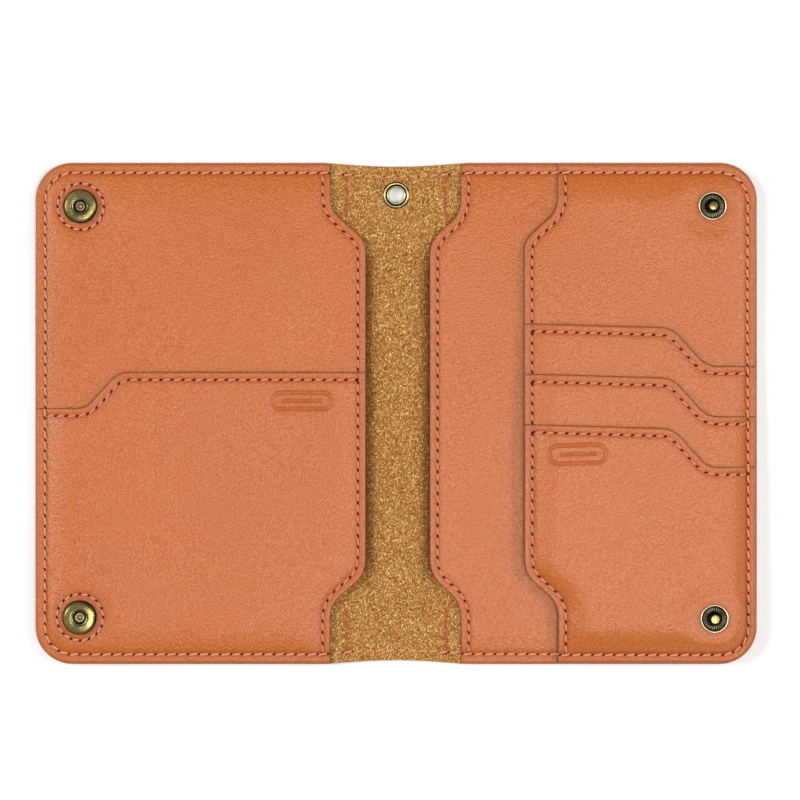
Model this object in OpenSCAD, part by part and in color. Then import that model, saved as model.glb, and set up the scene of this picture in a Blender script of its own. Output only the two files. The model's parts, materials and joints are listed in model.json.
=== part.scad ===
// Travel document organizer: a leather passport wallet that lies open, inside up.
// +X runs from the front cover to the back cover, +Y to the head, +Z out of the inside face.
// It folds shut about two lines along the spine, at x = -fold_x and x = +fold_x.

/* [Cover] */
// Width lying open, from cut edge to cut edge
open_w = 204.4; // [200:0.2:212]
// Height from the tail edge to the head edge
height = 142; // [138:0.5:150]
// Radius of the four outer corners
corner_r = 10.5; // [8:0.5:12]
// Half of the distance between the two fold lines
fold_x = 6.2; // [5.6:0.1:6.6]
// Bare gap in the rigid model at each fold line
fold_gap = 0.6; // [0.4:0.1:0.8]

/* [Leather] */
// Thickness of the panels sewn on the outside
outer_t = 0.8; // [0.6:0.1:1]
// Thickness of the cover that bends over the spine
cover_t = 1.0; // [0.8:0.1:1.2]
// Thickness of the sleeves, the ticket pocket and the card panel
panel_t = 0.6; // [0.5:0.1:0.8]
// Thickness of the three card pockets
card_t = 0.5; // [0.4:0.1:0.7]
// Height left inside each empty pocket
pocket_gap = 0.8; // [0.75:0.05:1]
// How far the inside panels stay within the cut edge of the cover
trim = 0.2; // [0.1:0.1:0.4]

/* [Seams] */
// Distance of the perimeter seam from the cut edge
stitch_in = 2.9; // [2.6:0.1:3.2]
// Distance of a hem seam from the mouth of its pocket
hem_in = 2.2; // [2:0.1:2.5]
// Width of the sewn and glued margin round each pocket
margin_w = 4.2; // [3.8:0.1:4.6]
// Width of a seam
thread_w = 0.5; // [0.4:0.1:0.6]
// Height of a seam above the leather
thread_t = 0.15; // [0.1:0.05:0.2]

/* [Snaps] */
// Distance of the snap centres from the spine's centre line
snap_x = 89.2; // [88:0.1:90]
// Height of the upper pair above the middle
snap_top_y = 58.5; // [57:0.1:59]
// Depth of the lower pair below the middle
snap_low_y = 57.5; // [56:0.1:58.5]
// Radius of a socket
socket_r = 4.8; // [4.5:0.1:5]
// Height of a socket above the leather
socket_h = 1.9; // [1.8:0.1:2.1]
// Radius of the hole that takes the ball of the stud
socket_hole_r = 2.15; // [2.1:0.05:2.3]
// Radius of a stud's flange
stud_r = 4.0; // [3.8:0.1:4.2]
// Radius of a stud's ball
ball_r = 1.9; // [1.8:0.05:1.95]
// Height of a stud above the leather
stud_h = 2.4; // [2.3:0.05:2.4]
// Radius of the stitched patch behind a socket
patch_r = 7.6; // [7.4:0.1:7.8]

/* [Eyelet] */
// Distance of the eyelet above the middle
eyelet_y = 61.8; // [58:0.1:63]
// Radius of the eyelet's hole
eyelet_hole_r = 2.2; // [1.8:0.1:2.3]
// Radius of the eyelet's flange
eyelet_r = 3.84; // [3.6:0.02:4]

/* [Hidden] */

$fn = 64;
ARC_STEPS = 10; // straight pieces in each arc of an outline
BEND_A = 48;    // steepest angle of an S-bend to the edge that it joins
CUT = 0.1;      // gap that keeps the pieces of a margin separate
LEATHER = "#cb6c30";
BACKING = "#be8741";
THREAD = "#eb9669";
BRASS = "#96824a";
STEEL = "#8d8a80";

half_w = open_w / 2;
half_h = height / 2;

// Undersides of the layers, from the outside of the wallet to the inside
cover_z = outer_t;
cover_top = cover_z + cover_t;
sleeve_z = cover_top + pocket_gap;
sleeve_top = sleeve_z + panel_t;
second_z = sleeve_top + pocket_gap;
second_top = second_z + panel_t;
card_step = card_t + pocket_gap;
function card_z(i) = second_top + pocket_gap + card_step * i;
function card_top(i) = card_z(i) + card_t;

// An upright mouth: [x at head and tail, x in the middle, then the heights where the bends
// at the head start and end, and where those at the tail start and end]
FRONT_MOUTH = [-18.6, -8.6, [61, 45.5, -41.5, -58]];
BACK_MOUTH = [18.3, 9.5, [60.5, 45, -41.5, -58]];
CARD_MOUTH = [45.6, 36.1, [60.8, 45.6, -41.5, -57.3]];
OUTER_MOUTH = [-11.8, -19.8, [57.5, 42, -42, -57.5]];

// The ticket pocket's mouth: low beside the outer edge, then up to its long straight
TICKET_LOW = [-90.3, 1.5];
TICKET_HIGH = [-75.5, 11.7];

// The uppermost card pocket's mouth: a long slope, then down to a short straight
CARD_HIGH = [74.7, 24.3];
CARD_LOW = [90.3, 13.4];
CARD_RISE = 1.1;  // how far the long slope climbs to its left end
CARD_PITCH = 14.2;

// The S-bend from [0, 0] to [u, v], which leaves and arrives along u
function s_bend(u, v) =
    let (r = (u - v / tan(BEND_A)) / (2 * tan(BEND_A / 2)),
        arc = [for (i = [0:ARC_STEPS]) let (a = BEND_A * i / ARC_STEPS) [r * sin(a), r * (1 - cos(a))]])
    concat(arc, [for (p = reversed(arc)) [u - p[0], v - p[1]]]);

function reversed(line) = [for (i = [len(line) - 1:-1:0]) line[i]];
function moved(line, by) = [for (p = line) p + by];
function mirrored(mouth) = [-mouth[0], -mouth[1], mouth[2]];

// The bends of an upright mouth, each from head to tail
function head_bend(m) = let (d = m[1] - m[0], y = m[2])
    [for (p = s_bend(y[0] - y[1], abs(d))) [m[0] + sign(d) * p[1], y[0] - p[0]]];
function tail_bend(m) = let (d = m[1] - m[0], y = m[2])
    [for (p = s_bend(y[2] - y[3], abs(d))) [m[1] - sign(d) * p[1], y[2] - p[0]]];

// The whole of an upright mouth, and the part of it below height y
function mouth_line(m, cut = trim) =
    concat([[m[0], half_h - cut]], head_bend(m), tail_bend(m), [[m[0], cut - half_h]]);
function mouth_below(m, y) = concat([[m[1], y]], tail_bend(m), [[m[0], trim - half_h]]);

// The mouths that run across, from left to right
function ticket_mouth() = concat(
    [[trim - half_w, TICKET_LOW[1]]],
    moved(s_bend(TICKET_HIGH[0] - TICKET_LOW[0], TICKET_HIGH[1] - TICKET_LOW[1]), TICKET_LOW),
    [[FRONT_MOUTH[1], TICKET_HIGH[1]]]);
function card_mouth(i) = moved(concat(
    [[CARD_MOUTH[1], CARD_HIGH[1] + CARD_RISE]],
    [for (p = s_bend(CARD_LOW[0] - CARD_HIGH[0], CARD_HIGH[1] - CARD_LOW[1]))
        [CARD_HIGH[0] + p[0], CARD_HIGH[1] - p[1]]],
    [[half_w - trim, CARD_LOW[1]]]), [0, -CARD_PITCH * i]);
function card_mouth_y(i) = CARD_HIGH[1] + CARD_RISE - CARD_PITCH * i;
function card_side_y(i) = CARD_LOW[1] - CARD_PITCH * i;

// A quarter circle about c from angle a
function quarter(c, r, a) =
    [for (i = [0:ARC_STEPS]) let (t = a + 90 * i / ARC_STEPS) c + r * [cos(t), sin(t)]];

// The outer corners of the front (side -1) or the back (side 1), inset by cut
function tail_corner(side, cut) = let (r = corner_r - cut, c = [half_w - corner_r, corner_r - half_h])
    [for (p = quarter(c, r, -90)) [side * p[0], p[1]]];
function head_corner(side, cut) = let (r = corner_r - cut, c = [half_w - corner_r, half_h - corner_r])
    [for (p = quarter(c, r, 0)) [side * p[0], p[1]]];

module sheet(points, z, t) {
    translate([0, 0, z])
        linear_extrude(t)
            polygon(points);
}

// A box between two corners
module block(low, high) {
    translate(low)
        cube(high - low);
}

// A panel with an upright mouth, on one side of the spine
module upright_panel(mouth, side, z, t, cut = trim) {
    sheet(concat(mouth_line(mouth, cut), tail_corner(side, cut), head_corner(side, cut)), z, t);
}

// A seam along a line, moved towards its panel by the hem's width
module seam(line, towards, inset, z) {
    sheet(concat(moved(line, towards * (inset - thread_w / 2)),
        reversed(moved(line, towards * (inset + thread_w / 2)))), z, thread_t);
}

// The whole outline of the cover, inset by cut
module outline_slab(cut, z, t) {
    sheet(concat(tail_corner(1, cut), head_corner(1, cut),
        reversed(head_corner(-1, cut)), reversed(tail_corner(-1, cut))), z, t);
}

// The perimeter seam between the corners low and high
module perimeter_run(low, high, z) {
    intersection() {
        block([low[0], low[1], z], [high[0], high[1], z + thread_t]);
        difference() {
            outline_slab(stitch_in - thread_w / 2, z, thread_t);
            outline_slab(stitch_in + thread_w / 2, z - 1, thread_t + 2);
        }
    }
}

// The margin at the tail, round its corner and up the outer edge to y_end
module tail_margin(side, x_from, y_end, z, t) {
    x_in = side * (half_w - margin_w);
    x_out = side * (half_w - trim);
    bend_x = side * (half_w - corner_r - CUT);
    bend_y = corner_r + CUT - half_h;
    sheet([[x_from, trim - half_h], [bend_x, trim - half_h],
        [bend_x, margin_w - half_h], [x_from, margin_w - half_h]], z, t);
    sheet(concat(tail_corner(side, trim), reversed(tail_corner(side, margin_w))), z, t);
    sheet([[x_in, bend_y], [x_out, bend_y], [x_out, y_end], [x_in, y_end]], z, t);
}

// The margin at the head and round its corner
module head_margin(side, x_from, z, t) {
    bend_x = side * (half_w - corner_r - CUT);
    sheet([[x_from, half_h - margin_w], [bend_x, half_h - margin_w],
        [bend_x, half_h - trim], [x_from, half_h - trim]], z, t);
    sheet(concat(head_corner(side, trim), reversed(head_corner(side, margin_w))), z, t);
}

// The margin of a sleeve that is open only at its upright mouth
module sleeve_margin(side, mouth, z, t) {
    tail_margin(side, mouth[0], half_h - corner_r - CUT, z, t);
    head_margin(side, mouth[0], z, t);
}

// The margin of a pocket that is sewn on along an upright mouth as well, up to y_top
module pocket_margin(side, mouth, y_top, y_side, z, t) {
    in = [side * margin_w, 0];
    bend = concat(tail_bend(mouth), [[mouth[0], margin_w + CUT - half_h]]);
    tail_margin(side, mouth[0], y_side, z, t);
    sheet([[mouth[1], y_top], [mouth[1], mouth[2][2] + CUT],
        [mouth[1], mouth[2][2] + CUT] + in, [mouth[1], y_top] + in], z, t);
    sheet(concat(bend, reversed(moved(bend, in))), z, t);
}

// The hole that a rivet's neck passes through
module neck_hole(x, y, z, t) {
    translate([x, y, z - 1])
        cylinder(h = t + 2, r = NECK_R + NECK_PLAY);
}

NECK_R = 1.0;       // neck of a rivet, through the leather
NECK_PLAY = 0.05;   // clearance round it
RIVET_R = 3.8;      // head of a rivet, inside the pocket
RIVET_T = 0.3;
PATCH_T = 0.3;
PATCH_PLAY = 0.05;  // between a rivet's head and the patch that covers it

// Where the snaps sit: [y, top of the leather, thickness of the leather]
SOCKETS = [[snap_top_y, sleeve_top, panel_t], [-snap_low_y, second_top, panel_t]];
STUDS = [[snap_top_y, second_top, panel_t], [-snap_low_y, card_top(2), card_t]];

module at_snaps(places, side) {
    for (s = places)
        translate([side * snap_x, s[0], s[1]])
            children();
}

// ---- leather ----

module outer_panel_front() {
    color(LEATHER) upright_panel(OUTER_MOUTH, -1, 0, outer_t, 0);
}

module outer_panel_back() {
    color(LEATHER) upright_panel(mirrored(OUTER_MOUTH), 1, 0, outer_t, 0);
}

module cover_half(side) {
    x = side * (fold_x + fold_gap / 2);
    color(LEATHER)
        sheet(concat([[x, half_h], [x, -half_h]], tail_corner(side, 0), head_corner(side, 0)),
            cover_z, cover_t);
}

module cover_front() { cover_half(-1); }

module cover_back() { cover_half(1); }

module cover_spine() {
    x = fold_x - fold_gap / 2;
    color(BACKING)
        difference() {
            block([-x, -half_h, cover_z], [x, half_h, cover_top]);
            translate([0, eyelet_y, cover_z - 1])
                cylinder(h = cover_t + 2, r = EYELET_BARREL_R + EYELET_PLAY);
        }
}

module front_sleeve() {
    color(LEATHER)
        difference() {
            upright_panel(FRONT_MOUTH, -1, sleeve_z, panel_t);
            neck_hole(-snap_x, snap_top_y, sleeve_z, panel_t);
        }
}

module front_sleeve_margin() {
    color(LEATHER) sleeve_margin(-1, FRONT_MOUTH, cover_top, pocket_gap);
}

module ticket_pocket() {
    color(LEATHER)
        difference() {
            sheet(concat(ticket_mouth(), mouth_below(FRONT_MOUTH, TICKET_HIGH[1] - CUT),
                tail_corner(-1, trim)), second_z, panel_t);
            neck_hole(-snap_x, -snap_low_y, second_z, panel_t);
        }
}

module ticket_pocket_margin() {
    color(LEATHER)
        pocket_margin(-1, FRONT_MOUTH, TICKET_HIGH[1] - CUT, TICKET_LOW[1] - CUT, sleeve_top, pocket_gap);
}

module back_sleeve() {
    color(LEATHER) upright_panel(BACK_MOUTH, 1, sleeve_z, panel_t);
}

module back_sleeve_margin() {
    color(LEATHER) sleeve_margin(1, BACK_MOUTH, cover_top, pocket_gap);
}

module card_panel() {
    color(LEATHER)
        difference() {
            upright_panel(CARD_MOUTH, 1, second_z, panel_t);
            neck_hole(snap_x, snap_top_y, second_z, panel_t);
        }
}

module card_panel_margin() {
    color(LEATHER) sleeve_margin(1, CARD_MOUTH, sleeve_top, pocket_gap);
}

// Card pocket i, counted from the head, with the hole for the stud's rivet in the last one
module card_pocket(i) {
    color(LEATHER)
        difference() {
            sheet(concat(reversed(card_mouth(i)), mouth_below(CARD_MOUTH, card_mouth_y(i) - CUT),
                tail_corner(1, trim)), card_z(i), card_t);
            if (i == 2)
                neck_hole(snap_x, -snap_low_y, card_z(i), card_t);
        }
}

module card_pocket_margin(i) {
    color(LEATHER)
        pocket_margin(1, CARD_MOUTH, card_mouth_y(i) - CUT, card_side_y(i) - CUT,
            card_z(i) - pocket_gap, pocket_gap);
}

module card_pocket_top() { card_pocket(0); }

module card_pocket_middle() { card_pocket(1); }

module card_pocket_bottom() { card_pocket(2); }

module card_pocket_top_margin() { card_pocket_margin(0); }

module card_pocket_middle_margin() { card_pocket_margin(1); }

module card_pocket_bottom_margin() { card_pocket_margin(2); }

// ---- thread ----

module perimeter_thread_front() {
    color(THREAD) {
        perimeter_run([FRONT_MOUTH[0], -half_h], [-fold_x - fold_gap / 2, half_h], cover_top);
        perimeter_run([-half_w, TICKET_LOW[1]], [FRONT_MOUTH[0], half_h], sleeve_top);
        perimeter_run([-half_w, -half_h], [FRONT_MOUTH[0], TICKET_LOW[1]], second_top);
    }
}

module perimeter_thread_spine() {
    x = fold_x - fold_gap / 2;
    color(THREAD) perimeter_run([-x, -half_h], [x, half_h], cover_top);
}

module perimeter_thread_back() {
    color(THREAD) {
        perimeter_run([fold_x + fold_gap / 2, -half_h], [BACK_MOUTH[0], half_h], cover_top);
        perimeter_run([BACK_MOUTH[0], -half_h], [CARD_MOUTH[0], half_h], sleeve_top);
        perimeter_run([CARD_MOUTH[0], card_side_y(0)], [half_w, half_h], second_top);
        for (i = [0:1])
            perimeter_run([CARD_MOUTH[0], card_side_y(i + 1)], [half_w, card_side_y(i)], card_top(i));
        perimeter_run([CARD_MOUTH[0], -half_h], [half_w, card_side_y(2)], card_top(2));
    }
}

// The hem seams end here, just short of the perimeter seam
SEAM_END = stitch_in + thread_w / 2 + CUT;

// The seam that holds an outside panel, where it comes through the cover
module outer_panel_thread(side) {
    line = mouth_line(side < 0 ? OUTER_MOUTH : mirrored(OUTER_MOUTH), SEAM_END);
    color(THREAD) seam(line, [side, 0], hem_in, cover_top);
}

module outer_panel_thread_front() { outer_panel_thread(-1); }

module outer_panel_thread_back() { outer_panel_thread(1); }

// The hem of an upright mouth between two heights
module hem(mouth, side, y_low, y_high, z) {
    intersection() {
        seam(mouth_line(mouth, SEAM_END), [side, 0], hem_in, z);
        block([-half_w, y_low, z], [half_w, y_high, z + thread_t]);
    }
}

// The hem of a pocket's upper mouth
module mouth_hem(line, z) {
    x = half_w - SEAM_END;
    intersection() {
        seam(line, [0, -1], hem_in, z);
        block([-x, -half_h, z], [x, half_h, z + thread_t]);
    }
}

module front_sleeve_thread() {
    color(THREAD) hem(FRONT_MOUTH, -1, TICKET_HIGH[1], half_h, sleeve_top);
}

module ticket_pocket_thread() {
    color(THREAD) {
        hem(FRONT_MOUTH, -1, -half_h, TICKET_HIGH[1] - 2 * hem_in, second_top);
        mouth_hem(ticket_mouth(), second_top);
    }
}

module back_sleeve_thread() {
    color(THREAD) hem(BACK_MOUTH, 1, -half_h, half_h, sleeve_top);
}

module card_panel_thread() {
    color(THREAD) hem(CARD_MOUTH, 1, card_mouth_y(0), half_h, second_top);
}

module card_pocket_thread() {
    color(THREAD)
        for (i = [0:2]) {
            mouth_hem(card_mouth(i), card_top(i));
            hem(CARD_MOUTH, 1, i < 2 ? card_mouth_y(i + 1) : -half_h,
                card_mouth_y(i) - 2 * hem_in, card_top(i));
        }
}

module socket_ring_thread() {
    ring_r = patch_r - 1;
    color(THREAD)
        at_snaps(SOCKETS, -1)
            difference() {
                cylinder(h = thread_t, r = ring_r + thread_w / 2);
                translate([0, 0, -1])
                    cylinder(h = thread_t + 2, r = ring_r - thread_w / 2);
            }
}

// ---- snaps ----

SOCKET_FLOOR = 0.25;  // metal under the socket's hollow
GROOVE_LOW = 1.2;     // the groove that holds the spring
GROOVE_HIGH = 1.7;
GROOVE_R = 2.95;
SPRING_WIRE_R = 0.22;
SPRING_PROUD = 0.1;   // how far the spring stands into the hole
COLLAR_R = 1.35;      // end of a socket's rivet, rolled over inside the hollow
RIVET_HOLE_R = 0.5;

module socket_bodies() {
    color(BRASS)
        at_snaps(SOCKETS, -1)
            rotate_extrude()
                polygon([[NECK_R + NECK_PLAY, 0], [socket_r, 0], [socket_r, socket_h - 0.4],
                    [socket_r - 0.4, socket_h], [socket_hole_r, socket_h],
                    [socket_hole_r, GROOVE_HIGH], [GROOVE_R, GROOVE_HIGH], [GROOVE_R, GROOVE_LOW],
                    [socket_hole_r, GROOVE_LOW], [socket_hole_r, SOCKET_FLOOR],
                    [NECK_R + NECK_PLAY, SOCKET_FLOOR]]);
}

module socket_springs() {
    color(STEEL)
        at_snaps(SOCKETS, -1)
            translate([0, 0, (GROOVE_LOW + GROOVE_HIGH) / 2])
                rotate_extrude()
                    translate([socket_hole_r + SPRING_WIRE_R - SPRING_PROUD, 0])
                        circle(r = SPRING_WIRE_R);
}

module socket_rivets() {
    color(BRASS)
        for (s = SOCKETS)
            translate([-snap_x, s[0], s[1]])
                rotate_extrude()
                    polygon([[RIVET_HOLE_R, -s[2] - RIVET_T], [RIVET_R, -s[2] - RIVET_T],
                        [RIVET_R, -s[2]], [NECK_R, -s[2]], [NECK_R, SOCKET_FLOOR],
                        [COLLAR_R, SOCKET_FLOOR], [COLLAR_R, SOCKET_FLOOR + 0.2],
                        [RIVET_HOLE_R, SOCKET_FLOOR + 0.2]]);
}

module socket_patches() {
    color(LEATHER)
        for (s = SOCKETS)
            translate([-snap_x, s[0], s[1] - s[2] - RIVET_T - PATCH_PLAY - PATCH_T])
                cylinder(h = PATCH_T, r = patch_r);
}

STUD_POST_R = 1.5;     // waist of the post, under the ball
STUD_CAVITY_H = 0.6;   // hollow under the post that takes the rivet's neck
RIM_H = 0.7;           // raised rim of the flange
DISH_H = 0.3;          // floor of the dish round the post
BALL_EDGE_R = 0.65;    // rounding of the ball's edge

// The edge of a stud's ball, from its waist to its flat top
function ball_edge() =
    let (c = [ball_r - BALL_EDGE_R, stud_h - BALL_EDGE_R],
        waist = -acos((STUD_POST_R - c[0]) / BALL_EDGE_R))
    [for (i = [0:ARC_STEPS]) let (a = waist + (90 - waist) * i / ARC_STEPS)
        c + BALL_EDGE_R * [cos(a), sin(a)]];

module studs() {
    color(BRASS)
        at_snaps(STUDS, 1)
            rotate_extrude()
                polygon(concat([[NECK_R + NECK_PLAY, 0], [stud_r, 0], [stud_r, RIM_H - 0.25],
                    [stud_r - 0.25, RIM_H], [stud_r - 0.6, RIM_H], [STUD_POST_R + 0.6, DISH_H],
                    [STUD_POST_R, DISH_H]], ball_edge(),
                    [[0, stud_h], [0, STUD_CAVITY_H], [NECK_R + NECK_PLAY, STUD_CAVITY_H]]));
}

module stud_rivets() {
    color(BRASS)
        for (s = STUDS)
            translate([snap_x, s[0], s[1] - s[2] - RIVET_T]) {
                cylinder(h = RIVET_T, r = RIVET_R);
                cylinder(h = RIVET_T + s[2] + STUD_CAVITY_H - 0.05, r = NECK_R);
            }
}

// ---- eyelet ----

EYELET_BARREL_R = 2.5;
EYELET_PLAY = 0.05;
EYELET_LIP_R = 3.1;    // end of the barrel, rolled over the washer
EYELET_LIP_T = 0.2;
WASHER_T = 0.25;
EYELET_RISE = 0.45;    // flange above the leather
washer_z = cover_z - WASHER_T;
lip_z = washer_z - EYELET_LIP_T;

module eyelet() {
    color(BRASS)
        translate([0, eyelet_y, 0])
            rotate_extrude()
                polygon([[eyelet_hole_r, lip_z], [EYELET_LIP_R, lip_z], [EYELET_LIP_R, washer_z],
                    [EYELET_BARREL_R, washer_z], [EYELET_BARREL_R, cover_top],
                    [eyelet_r, cover_top], [eyelet_r, cover_top + 0.2],
                    [eyelet_r - 0.5, cover_top + EYELET_RISE], [eyelet_hole_r, cover_top + EYELET_RISE]]);
}

module eyelet_washer() {
    color(BRASS)
        translate([0, eyelet_y, washer_z])
            difference() {
                cylinder(h = WASHER_T, r = eyelet_r);
                translate([0, 0, -1])
                    cylinder(h = WASHER_T + 2, r = EYELET_BARREL_R + EYELET_PLAY);
            }
}

outer_panel_front();
outer_panel_back();
cover_front();
cover_spine();
cover_back();
front_sleeve();
front_sleeve_margin();
ticket_pocket();
ticket_pocket_margin();
back_sleeve();
back_sleeve_margin();
card_panel();
card_panel_margin();
card_pocket_top();
card_pocket_top_margin();
card_pocket_middle();
card_pocket_middle_margin();
card_pocket_bottom();
card_pocket_bottom_margin();
perimeter_thread_front();
perimeter_thread_spine();
perimeter_thread_back();
outer_panel_thread_front();
outer_panel_thread_back();
front_sleeve_thread();
ticket_pocket_thread();
back_sleeve_thread();
card_panel_thread();
card_pocket_thread();
socket_ring_thread();
socket_bodies();
socket_springs();
socket_rivets();
socket_patches();
studs();
stud_rivets();
eyelet();
eyelet_washer();
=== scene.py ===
import json
import math

import bpy
import numpy as np
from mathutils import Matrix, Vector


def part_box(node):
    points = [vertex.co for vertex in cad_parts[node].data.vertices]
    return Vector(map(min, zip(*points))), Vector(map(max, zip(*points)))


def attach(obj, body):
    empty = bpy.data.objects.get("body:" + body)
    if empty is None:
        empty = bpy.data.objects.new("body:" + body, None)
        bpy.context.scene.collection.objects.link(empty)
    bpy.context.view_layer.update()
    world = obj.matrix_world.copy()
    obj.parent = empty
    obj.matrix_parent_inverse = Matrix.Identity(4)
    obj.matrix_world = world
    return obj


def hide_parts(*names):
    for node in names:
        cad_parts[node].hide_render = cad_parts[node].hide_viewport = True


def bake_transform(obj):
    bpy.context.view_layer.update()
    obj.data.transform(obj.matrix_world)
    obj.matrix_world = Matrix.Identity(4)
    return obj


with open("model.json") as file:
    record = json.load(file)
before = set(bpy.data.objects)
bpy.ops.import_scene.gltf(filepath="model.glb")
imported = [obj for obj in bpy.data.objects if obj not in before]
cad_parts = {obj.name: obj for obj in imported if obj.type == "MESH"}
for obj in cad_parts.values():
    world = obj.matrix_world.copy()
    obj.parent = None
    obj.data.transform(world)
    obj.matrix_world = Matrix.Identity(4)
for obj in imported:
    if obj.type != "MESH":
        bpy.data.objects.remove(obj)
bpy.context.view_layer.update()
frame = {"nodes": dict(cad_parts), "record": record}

# Lengths below are in millimetres, in the frame's axes. They become metres where a mesh is made.
MM = 0.001


def box_mm(node):
    low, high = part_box(node)
    return np.array(low) / MM, np.array(high) / MM


# ---- sizes that the frame gives ----

HALF_W, HALF_H, COVER_TOP = box_mm("cover_back")[1]
OUTER_T = box_mm("outer_panel_back")[1][2]
PANEL_T = box_mm("front_sleeve")[1][2] - box_mm("front_sleeve")[0][2]
CARD_T = box_mm("card_pocket_top")[1][2] - box_mm("card_pocket_top")[0][2]
GAP = box_mm("front_sleeve")[0][2] - COVER_TOP
SLEEVE_TOP = box_mm("front_sleeve")[1][2]
SECOND_TOP = box_mm("card_panel")[1][2]
CARD_TOP = box_mm("card_pocket_bottom")[1][2]

EYELET_R = (box_mm("eyelet")[1] - box_mm("eyelet")[0])[0] / 2
EYELET_Y = box_mm("eyelet")[1][1] - EYELET_R
EYELET_LOW, EYELET_HIGH = box_mm("eyelet")[0][2], box_mm("eyelet")[1][2]
EYELET_HOLE_R = frame["record"]["mounts"][0]["dims"]["r_mm"]

STUD_X = (box_mm("studs")[0][0] + box_mm("studs")[1][0]) / 2
STUD_R = box_mm("studs")[1][0] - STUD_X
STUD_H = box_mm("studs")[1][2] - CARD_TOP
SOCKET_R = box_mm("socket_bodies")[1][0] + STUD_X
SOCKET_H = box_mm("socket_bodies")[1][2] - SECOND_TOP
SNAP_HIGH_Y = box_mm("studs")[1][1] - STUD_R
SNAP_LOW_Y = box_mm("studs")[0][1] + STUD_R

# ---- outlines ----

CORNER_R = 10.5
BEND_A = math.radians(48)  # steepest angle of an S-bend to the edge that it joins
SPINE_DIP = 1.1            # how far the head and tail edges draw in over the spine
SPINE_REACH = 21.0         # half the length of that drawn-in stretch
STITCH_IN = 2.9            # perimeter seam to cut edge
HEM_IN = 2.2               # hem seam to mouth
PITCH = 3.05               # length of one stitch

# Heights at which the bends of each upright mouth start and end, from head to tail
FRONT_BENDS = (61, 45.5, -41.5, -58)
BACK_BENDS = (60.5, 45, -41.5, -58)
CARD_BENDS = (60.8, 45.6, -41.5, -57.3)
OUTER_BENDS = (57.5, 42, -42, -57.5)
OUTER_RECESS = 8.0         # depth of the recess in an outside panel's spine edge

TICKET_LOW, TICKET_HIGH = (-90.3, 1.5), (-75.5, 11.7)
CARD_HIGH, CARD_LOW = (74.7, 24.3), (90.3, 13.4)
CARD_RISE = 1.1            # how far a card pocket's long slope climbs
CARD_PITCH = 14.2


def s_bend(u, v, steps=14):
    """Points of an S-bend from (0, 0) to (u, v) that leaves and arrives along u."""
    r = (u - v / math.tan(BEND_A)) / (2 * math.tan(BEND_A / 2))
    a = np.linspace(0, BEND_A, steps)
    arc = np.stack([r * np.sin(a), r * (1 - np.cos(a))], axis=1)
    return np.concatenate([arc, [[u, v]] - arc[::-1]])


def upright_mouth(x_end, x_mid, bends):
    """An upright mouth's line from head to tail."""
    d = x_mid - x_end
    side = np.sign(d)
    head = s_bend(bends[0] - bends[1], abs(d))
    tail = s_bend(bends[2] - bends[3], abs(d))
    return np.concatenate([
        [[x_end, HALF_H + 1]],
        np.stack([x_end + side * head[:, 1], bends[0] - head[:, 0]], axis=1),
        np.stack([x_mid - side * tail[:, 1], bends[2] - tail[:, 0]], axis=1),
        [[x_end, -HALF_H - 1]],
    ])


def card_mouth(i):
    """The mouth line of card pocket i, from left to right."""
    bend = s_bend(CARD_LOW[0] - CARD_HIGH[0], CARD_HIGH[1] - CARD_LOW[1]) * [1, -1] + CARD_HIGH
    start = [[CARD_MOUTH[len(CARD_MOUTH) // 2][0], CARD_HIGH[1] + CARD_RISE]]
    return np.concatenate([start, bend, [[HALF_W + 1, CARD_LOW[1]]]]) - [0, CARD_PITCH * i]


FRONT_MOUTH = upright_mouth(
    box_mm("front_sleeve_margin")[1][0], box_mm("front_sleeve")[1][0], FRONT_BENDS)
BACK_MOUTH = upright_mouth(
    box_mm("back_sleeve_margin")[0][0], box_mm("back_sleeve")[0][0], BACK_BENDS)
CARD_MOUTH = upright_mouth(
    box_mm("card_panel_margin")[0][0], box_mm("card_panel")[0][0], CARD_BENDS)
OUTER_X = box_mm("outer_panel_back")[0][0]
OUTER_EDGE = upright_mouth(OUTER_X, OUTER_X + OUTER_RECESS, OUTER_BENDS)
TICKET_BEND = s_bend(TICKET_HIGH[0] - TICKET_LOW[0], TICKET_HIGH[1] - TICKET_LOW[1]) + TICKET_LOW
TICKET_MOUTH = np.concatenate([
    [[-HALF_W - 1, TICKET_LOW[1]]], TICKET_BEND,
    [[FRONT_MOUTH[len(FRONT_MOUTH) // 2][0], TICKET_HIGH[1]]],
])
CARD_MOUTHS = [card_mouth(i) for i in range(3)]


def across(line, y):
    """x of an upright line at height y."""
    return np.interp(y, line[::-1, 1], line[::-1, 0])


def up(line, x):
    """y of a line that runs from left to right at x."""
    return np.interp(x, line[:, 0], line[:, 1])


def dip(x):
    """How far the head and tail edges draw in at x."""
    return SPINE_DIP * np.clip(1 - (x / SPINE_REACH) ** 2, 0, 1) ** 1.5


def outer_x(y, cut):
    """Distance of the outer edge from the middle at height y, inset by cut."""
    r = CORNER_R - cut
    past = np.maximum(np.abs(y) - (HALF_H - CORNER_R), 0)
    return HALF_W - CORNER_R + np.sqrt(np.maximum(r * r - past * past, 0))


def edge_in(x, y):
    """How far a point is inside the cover's outline."""
    qx = np.abs(x) - (HALF_W - CORNER_R)
    qy = np.abs(y) + dip(x) - (HALF_H - CORNER_R)
    outside = np.hypot(np.maximum(qx, 0), np.maximum(qy, 0))
    return CORNER_R - outside - np.minimum(np.maximum(qx, qy), 0)


def far(x, y, line):
    """Distance of each point from a line."""
    x, y = np.broadcast_arrays(x, y)
    best = np.full(x.shape, np.inf)
    for a, b in zip(line[:-1], line[1:]):
        d = b - a
        t = np.clip(((x - a[0]) * d[0] + (y - a[1]) * d[1]) / max(d @ d, 1e-12), 0, 1)
        best = np.minimum(best, np.hypot(x - a[0] - t * d[0], y - a[1] - t * d[1]))
    return best


def smooth(t):
    t = np.clip(t, 0, 1)
    return t * t * (3 - 2 * t)


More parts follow.
